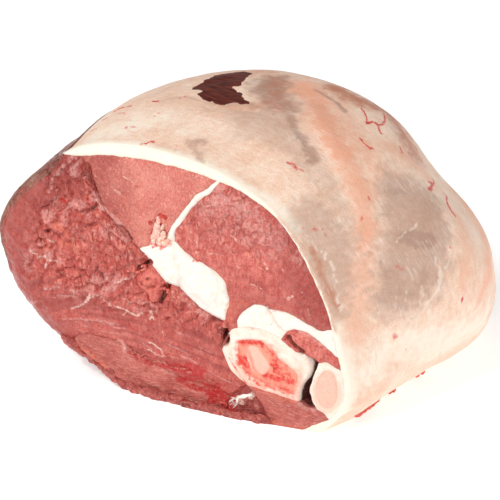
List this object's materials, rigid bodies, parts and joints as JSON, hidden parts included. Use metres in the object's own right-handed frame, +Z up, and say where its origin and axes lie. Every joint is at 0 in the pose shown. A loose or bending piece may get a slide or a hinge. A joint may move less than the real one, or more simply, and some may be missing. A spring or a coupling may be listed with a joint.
{
  "type": "raw leg of lamb",
  "caption": "Raw bone-in piece of lamb leg, cut across to show muscles, fat seams, bone ends and the fat cover round them.",
  "frame": {"origin": "middle of the footprint of the whole piece, on the flat underside it rests on", "axes": "+X along the cut end from the bare muscle side towards the two bones, +Y from the cut end to the trimmed far end, +Z up from the board"},
  "size_m": [0.2102, 0.1266, 0.1332],
  "materials": {
    "meat": "moist raw lean meat, fine grained, satin",
    "fat": "firm cream to white raw fat with a thin dry skin, satin",
    "bone": "sawn bone, smooth and matt",
    "marrow": "spongy red middle of a sawn bone, moist",
    "gland": "soft pink grains of tissue, moist",
    "tissue": "dark wet joint tissue"
  },
  "bodies": {
    "root": {"fat_cover": "fat", "left_muscle": "meat", "lower_band_muscle": "meat", "top_muscle": "meat", "right_muscle": "meat", "seam_fat": "fat", "gland": "gland", "centre_muscle": "meat", "joint_fat": "fat", "bone": "bone", "bone_middle": "marrow", "small_muscle": "meat", "small_bone": "bone", "small_bone_middle": "marrow", "lower_muscle": "meat", "flap_muscle": "meat", "joint_tissue": "tissue"}
  },
  "joints": []
}
